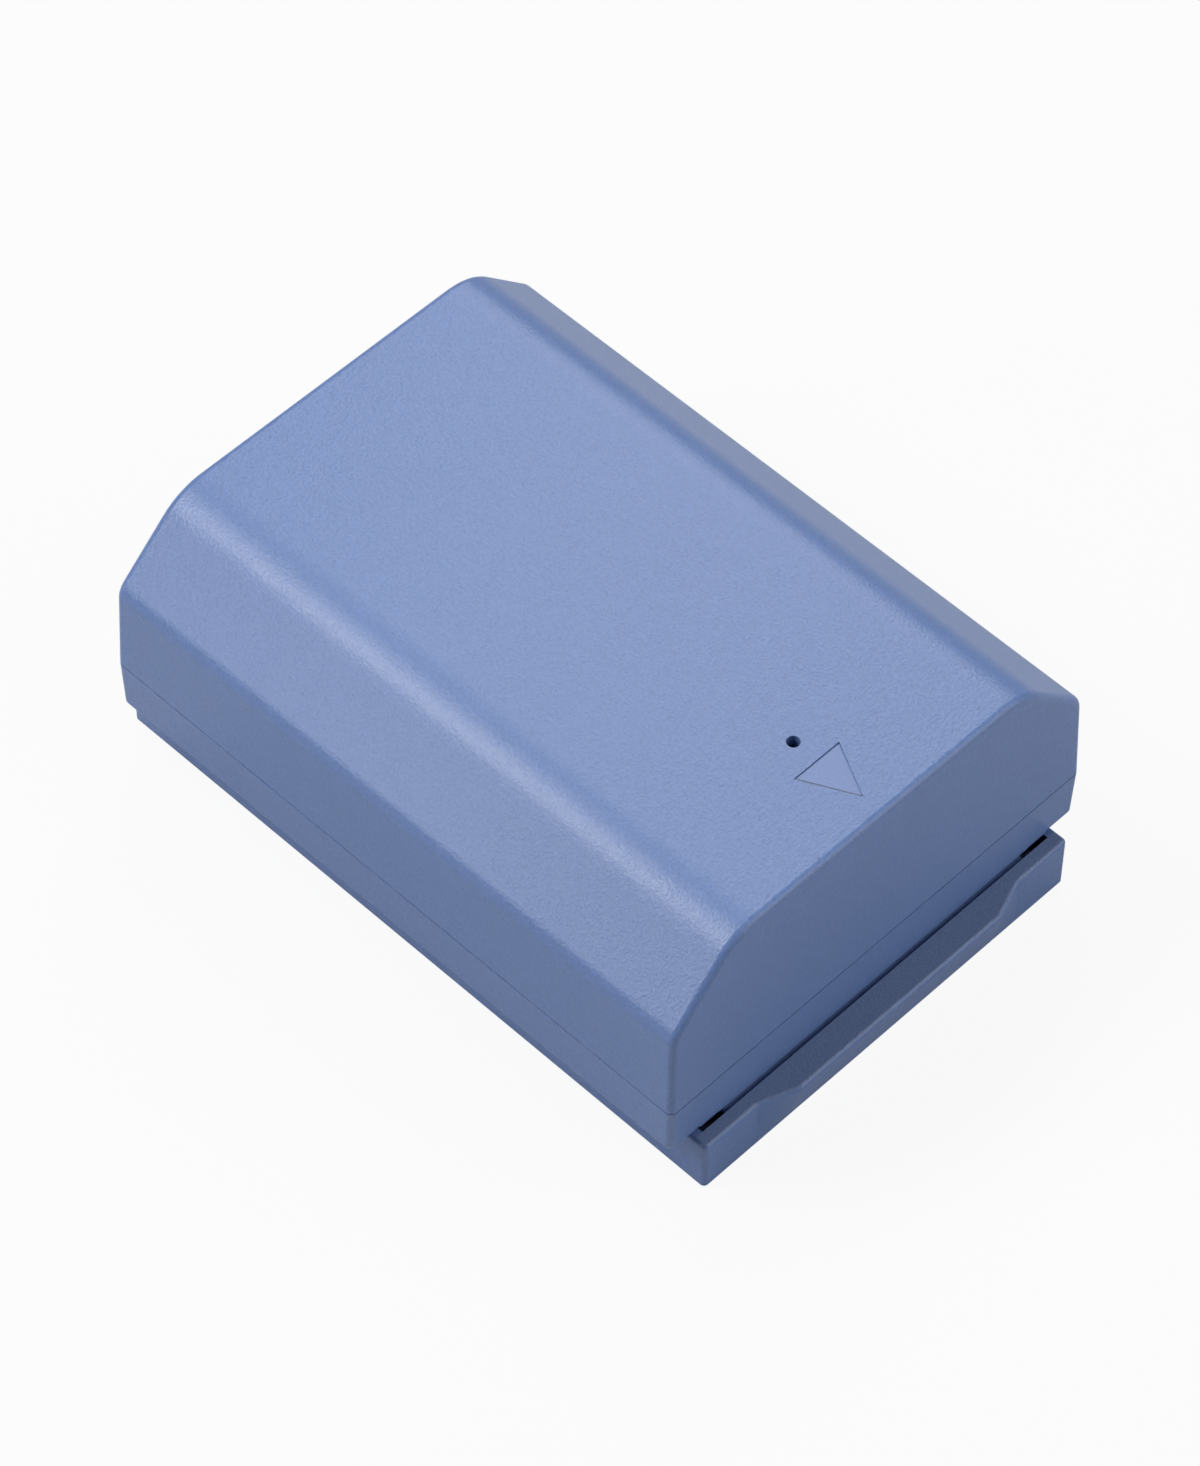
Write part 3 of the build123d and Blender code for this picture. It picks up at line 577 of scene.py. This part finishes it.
def joint_places():
    """Where solder joins a strip or a leaf to the board: its x and y, and its reach in both."""
    places = []
    for node in ("positive_strip", "negative_strip"):
        low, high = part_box(node)
        places.append((low.x, (low.y + high.y) / 2, STRIP_JOINT_REACH, (high.y - low.y) / 2))
    low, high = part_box("midpoint_strip")
    places.append((high.x, 0.0, STRIP_JOINT_REACH, (high.y - low.y) / 2))
    for node in CONTACTS:
        low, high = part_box(node)
        reach_y = (high.y - low.y) * LEAF_JOINT_WIDTH
        places.append((low.x, (low.y + high.y) / 2, LEAF_JOINT_REACH, reach_y))
    return places


# Settings

def colour_setting(name, description, default):
    """Property for a plain colour."""
    return FloatVectorProperty(
        name=name, description=description, subtype="COLOR", size=3, min=0, max=1,
        default=default,
    )


def length_setting(name, description, default):
    """Property for a length in metres."""
    return FloatProperty(
        name=name, description=description, subtype="DISTANCE", unit="LENGTH", min=0,
        default=default, precision=5,
    )


def share_setting(name, description, default):
    """Property for a share from 0 to 1."""
    return FloatProperty(
        name=name, description=description, subtype="FACTOR", min=0, max=1, default=default,
    )


class BatteryCaseLook(bpy.types.PropertyGroup):
    """How the plastic of the case looks"""

    colour: colour_setting("Case colour", "Colour of the moulded plastic", (0.12, 0.192, 0.4))
    roughness: share_setting("Roughness", "How matte the plastic is", 0.3)
    gloss_index: FloatProperty(
        name="Gloss index",
        description="Refractive index, which sets how much light glances off",
        min=1, max=2.5, default=1.45,
    )
    grain_size: length_setting("Grain size", "Size of the moulded grain's lumps", 0.0002)
    grain_depth: length_setting("Grain depth", "Height of the moulded grain", 0.000034)


class BatteryCellLook(bpy.types.PropertyGroup):
    """How the cells look, with what holds and joins them"""

    sleeve_colour: colour_setting("Sleeve colour", "Shrink film round each cell",
                                  (0.03, 0.17, 0.13))
    tape_colour: colour_setting("Tape colour", "Tape band round both cells", (0.62, 0.27, 0.04))
    card_colour: colour_setting("Card colour", "Insulating card and rings", (0.5, 0.53, 0.47))
    foam_colour: colour_setting("Foam colour", "Pads between the cells", (0.035, 0.035, 0.04))
    can_roughness: share_setting("Can roughness", "How dull the steel cans are", 0.3)
    strip_roughness: share_setting("Strip roughness", "How dull the nickel strips are", 0.35)


class BatteryBoardLook(bpy.types.PropertyGroup):
    """How the circuit board and the parts on it look"""

    mask_colour: colour_setting("Mask colour", "Solder mask of the board", (0.008, 0.09, 0.035))
    track_colour: colour_setting("Track colour", "Mask where it covers copper",
                                 (0.03, 0.2, 0.07))
    chip_colour: colour_setting("Chip colour", "Moulding of the chips", (0.02, 0.02, 0.022))
    fuse_colour: colour_setting("Fuse colour", "Body of the safety fuse", (0.72, 0.7, 0.62))
    capacitor_colour: colour_setting("Capacitor colour", "Ceramic of the capacitors",
                                     (0.4, 0.24, 0.13))
    solder_height: length_setting("Solder height", "Height of the solder joints", 0.00045)


class BatteryContactLook(bpy.types.PropertyGroup):
    """How the contacts and their blocks look"""

    gold_roughness: share_setting("Gold roughness", "How dull the gold plating is", 0.25)
    block_colour: colour_setting("Block colour", "Plastic of the contact blocks",
                                 (0.012, 0.012, 0.013))


class BatteryStageLook(bpy.types.PropertyGroup):
    """The floor, the lights and the sky"""

    floor_colour: colour_setting("Floor colour", "Colour of the floor", (0.56, 0.56, 0.56))
    floor_size: length_setting("Floor size", "Length of each side of the floor", 6.0)
    light_distance: length_setting("Light distance", "From the battery to each soft light", 0.5)
    sky_strength: FloatProperty(
        name="Sky strength", description="Strength of the even light from all round",
        min=0, default=0.02,
    )


# Operators

class BATTERY_OT_case(bpy.types.Operator):
    """Finish both halves of the case in matte moulded plastic"""

    bl_idname = "battery.case"
    bl_label = "Case"

    def execute(self, context):
        look = context.scene.battery_case
        give(case_material("matte_shell", look, marked=True), "upper_case")
        base = case_material("matte_base", look)
        give(base, "lower_case")
        lip_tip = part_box("lower_case")[1].x
        low = (lip_tip - GROOVE_BACK, -WEB_HALF_LENGTH, WEB_FLOOR_Z)
        high = (lip_tip - GROOVE_FRONT, WEB_HALF_LENGTH, WEB_TOP_Z)
        add_surface("groove_web", [groove_web(low, high, WEB_SAG)], base)
        return {"FINISHED"}


class BATTERY_OT_cells(bpy.types.Operator):
    """Finish the cans, their sleeves and rings, the strips and the tape"""

    bl_idname = "battery.cells"
    bl_label = "Cells and strips"

    def execute(self, context):
        look = context.scene.battery_cells
        can = metal_material("drawn_can", STEEL, look.can_roughness, ALONG_X)
        give(can, "cell_left", "cell_right")
        sleeve = film_material(
            "sleeve_film", look.sleeve_colour, roughness=0.4, clearness=0.5
        )
        give(sleeve, "sleeve_left", "sleeve_right")
        tape = film_material("amber_tape", look.tape_colour, roughness=0.35, clearness=0.7)
        give(tape, "cell_tape")
        strip = metal_material("rolled_nickel", NICKEL, look.strip_roughness, ALONG_Z)
        give(strip, "positive_strip", "negative_strip", "series_link", "midpoint_strip")
        return {"FINISHED"}


class BATTERY_OT_insulation(bpy.types.Operator):
    """Finish the insulating sheets, the paper rings and the foam pads"""

    bl_idname = "battery.insulation"
    bl_label = "Insulation"

    def execute(self, context):
        look = context.scene.battery_cells
        give(card_material("fibre_card", look.card_colour), "near_end_sheet", "far_end_sheet",
             "board_sheet", "insulator_ring_left", "insulator_ring_right")
        give(foam_material("closed_cell_foam", look.foam_colour), "foam_pads")
        return {"FINISHED"}


class BATTERY_OT_board(bpy.types.Operator):
    """Finish the circuit board and the parts on it"""

    bl_idname = "battery.board"
    bl_label = "Circuit board"

    def execute(self, context):
        look = context.scene.battery_board
        give(board_material("laminate", look), "circuit_board")
        for node, name, colour, mask, reach, roughness in (
            ("mosfet_pair", "mosfet_pair_package", look.chip_colour,
             leads_mask, LEAD_REACH, PACKAGE_ROUGHNESS),
            ("protection_chip", "protection_chip_package", look.chip_colour,
             leads_mask, LEAD_REACH, PACKAGE_ROUGHNESS),
            ("gauge_chip", "gauge_package", look.chip_colour,
             below_mask, GAUGE_LEADS_DROP, PACKAGE_ROUGHNESS),
            ("safety_fuse", "fuse_package", look.fuse_colour,
             caps_mask, FUSE_CAP_SHARE, FUSE_ROUGHNESS),
            ("sense_resistor", "sense_package", look.chip_colour,
             caps_mask, SENSE_CAP_SHARE, PACKAGE_ROUGHNESS),
            ("resistors", "resistor_package", look.chip_colour,
             top_mask, RESISTOR_CAPS_DROP, PACKAGE_ROUGHNESS),
            ("capacitors", "capacitor_package", look.capacitor_colour,
             top_mask, CAPACITOR_CAPS_DROP, PACKAGE_ROUGHNESS),
            ("temperature_sensor", "sensor_bead", look.chip_colour,
             below_mask, SENSOR_LEADS_DROP, BEAD_ROUGHNESS),
        ):
            give(package_material(name, colour, mask(node, reach), roughness), node)
        return {"FINISHED"}


class BATTERY_OT_solder(bpy.types.Operator):
    """Add the solder joints that hold the strips and the contact leaves to the board"""

    bl_idname = "battery.solder"
    bl_label = "Solder joints"

    def execute(self, context):
        look = context.scene.battery_board
        board_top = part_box("circuit_board")[1].z
        joints = [solder_joint((x, y, board_top), reach_x, reach_y, look.solder_height)
                  for x, y, reach_x, reach_y in joint_places()]
        add_surface("solder_joints", joints, solder_material("froze_tin"))
        return {"FINISHED"}


class BATTERY_OT_contacts(bpy.types.Operator):
    """Finish the spring contacts and their insulating blocks"""

    bl_idname = "battery.contacts"
    bl_label = "Contacts"

    def execute(self, context):
        look = context.scene.battery_contacts
        gold = metal_material("gold_plate", GOLD, look.gold_roughness, ALONG_X, stain=0.9)
        give(gold, *CONTACTS)
        block = case_block_material("black_block", look.block_colour)
        give(block, "contact_block_left", "contact_block_right")
        return {"FINISHED"}


# Stage: where the photograph was taken from, by angles about the aim and its distance
CAMERA_AZIMUTH = math.radians(44.0239)
CAMERA_ELEVATION = math.radians(52.7713)
CAMERA_ROLL = math.radians(0.7482)
CAMERA_DISTANCE = 390.168 * MM
CAMERA_LENS = 144.692
CAMERA_SENSOR = 36.0
CAMERA_CLIP_START = 0.01
AIM_FROM_FAR_END = 27.337 * MM
AIM_Y = -1.0782 * MM
AIM_Z = 9.7167 * MM

# The floor is just under the battery, so that it never shares the underside's plane
FLOOR_Z = -0.02 * MM
FLOOR_WHITE = 0.92
WHITE = (1, 1, 1, 1)

# Each soft light: its direction from the battery, the length of its sides and its power
SMALL, LARGE = 0.16, 0.5
LIGHTS = {
    "key_light": ((-0.42, -0.54, 0.73), SMALL, 1.1),
    "upper_key_light": ((-0.42, -0.27, 0.86), SMALL, 0.6),
    "lower_key_light": ((-0.42, -0.83, 0.36), SMALL, 0.6),
    "top_light": ((-0.42, 0.435, 0.797), SMALL, 0.42),
    "far_light": ((-0.42, 0.66, 0.62), SMALL, 0.3),
    "low_far_light": ((-0.42, 0.76, 0.48), SMALL, 0.19),
    "over_light": ((-0.42, 0.14, 0.90), SMALL, 0.24),
    "near_light": ((0.78, 0.46, 0.45), LARGE, 1.7),
    "under_light": ((0, 0, -1), SMALL, 0.6),
}


def aim():
    """Point that the camera looks at, measured from the far end of the body."""
    return Vector((CASE_LOW.x + AIM_FROM_FAR_END, AIM_Y, AIM_Z))


def camera_matrix():
    """The camera's place: back along its line of sight from the aim, then rolled."""
    azimuth, elevation = CAMERA_AZIMUTH, CAMERA_ELEVATION
    back = Vector((
        math.sin(azimuth) * math.cos(elevation),
        -math.cos(azimuth) * math.cos(elevation),
        math.sin(elevation),
    ))
    level = Vector((math.cos(azimuth), math.sin(azimuth), 0))
    turn = Matrix.Rotation(CAMERA_ROLL, 3, back)
    right = turn @ level
    up = turn @ back.cross(level)
    matrix = Matrix((right, up, back)).transposed().to_4x4()
    matrix.translation = aim() + back * CAMERA_DISTANCE
    return matrix


def sky_world(strength):
    """Even white light from all round, which the camera alone sees at full white."""
    shader = Shader(bpy.data.worlds.new("sky"))
    seen = shader.light_path("Is Camera Ray")
    level = strength + seen * (1 - strength)
    sky = shader.add("ShaderNodeBackground", {}, {"Color": WHITE, "Strength": level})
    return shader.end(sky, "ShaderNodeOutputWorld")


def floor_material(colour):
    """Pale floor that the camera sees nearly white, with its soft shadow kept.

    From below the camera sees through it, and no light is stopped by it, so the
    underside shows and is lit.
    """
    shader = new_shader("pale_floor")
    plain = shader.add("ShaderNodeBsdfDiffuse", {}, {"Color": opaque(colour)})
    white = shader.add("ShaderNodeEmission", {}, {"Color": WHITE, "Strength": 1.0})
    seen = shader.light_path("Is Camera Ray")
    mix = shader.add("ShaderNodeMixShader", {}, {0: seen * FLOOR_WHITE, 1: plain, 2: white})
    clear = shader.add("ShaderNodeBsdfTransparent", {}, {})
    below = shader.add("ShaderNodeNewGeometry", {}, {}, "Backfacing")
    hidden = (seen * below).math("MAXIMUM", shader.light_path("Is Shadow Ray"))
    return shader.end(shader.add("ShaderNodeMixShader", {}, {0: hidden, 1: mix, 2: clear}))


def area_light(name, direction, distance, size, power):
    """Square soft light in a direction from the battery, facing it."""
    lamp = bpy.data.lights.new(name, "AREA")
    lamp.shape = "SQUARE"
    lamp.size = size
    lamp.energy = power
    light = bpy.data.objects.new(name, lamp)
    bpy.context.scene.collection.objects.link(light)
    towards = Vector(direction).normalized()
    light.matrix_world = towards.to_track_quat("Z", "Y").to_matrix().to_4x4()
    light.location = aim() + towards * distance


class BATTERY_OT_stage(bpy.types.Operator):
    """Set the floor, the lights and the camera round the battery"""

    bl_idname = "battery.stage"
    bl_label = "Stage"

    def execute(self, context):
        look = context.scene.battery_stage
        half = look.floor_size / 2
        corners = [(-half, -half, FLOOR_Z), (half, -half, FLOOR_Z),
                   (half, half, FLOOR_Z), (-half, half, FLOOR_Z)]
        mesh = bpy.data.meshes.new("floor")
        mesh.from_pydata(corners, [], [(0, 1, 2, 3)])
        floor = bpy.data.objects.new("floor", mesh)
        mesh.materials.append(floor_material(look.floor_colour))
        context.scene.collection.objects.link(floor)
        context.scene.world = sky_world(look.sky_strength)
        for name, (direction, size, power) in LIGHTS.items():
            area_light(name, direction, look.light_distance, size, power)
        camera = bpy.data.cameras.new("photo_camera")
        camera.lens = CAMERA_LENS
        camera.sensor_width = CAMERA_SENSOR
        camera.clip_start = CAMERA_CLIP_START
        viewer = bpy.data.objects.new("photo_camera", camera)
        viewer.matrix_world = camera_matrix()
        context.scene.collection.objects.link(viewer)
        context.scene.camera = viewer
        context.scene.view_settings.view_transform = "Standard"
        return {"FINISHED"}


class BATTERY_PT_panel(bpy.types.Panel):
    """Lists the operators in the 3D view's sidebar"""

    bl_idname = "BATTERY_PT_panel"
    bl_label = "Camera battery"
    bl_space_type = "VIEW_3D"
    bl_region_type = "UI"
    bl_category = "Battery"

    def draw(self, context):
        for operator in OPERATORS:
            self.layout.operator(operator.bl_idname)


SETTINGS = {
    "battery_case": BatteryCaseLook,
    "battery_cells": BatteryCellLook,
    "battery_board": BatteryBoardLook,
    "battery_contacts": BatteryContactLook,
    "battery_stage": BatteryStageLook,
}
OPERATORS = (
    BATTERY_OT_case, BATTERY_OT_cells, BATTERY_OT_insulation, BATTERY_OT_board,
    BATTERY_OT_solder, BATTERY_OT_contacts, BATTERY_OT_stage,
)


def register():
    """Registers the settings, the operators and the panel."""
    for kind in (*SETTINGS.values(), *OPERATORS, BATTERY_PT_panel):
        bpy.utils.register_class(kind)
    for name, kind in SETTINGS.items():
        setattr(bpy.types.Scene, name, PointerProperty(type=kind))


def unregister():
    """Takes away what register put in place."""
    for name in SETTINGS:
        delattr(bpy.types.Scene, name)
    for kind in reversed((*SETTINGS.values(), *OPERATORS, BATTERY_PT_panel)):
        bpy.utils.unregister_class(kind)


def main():
    """Runs every operator in order."""
    register()
    for operator in OPERATORS:
        group, name = operator.bl_idname.split(".")
        getattr(getattr(bpy.ops, group), name)()


if __name__ == "__main__":
    main()
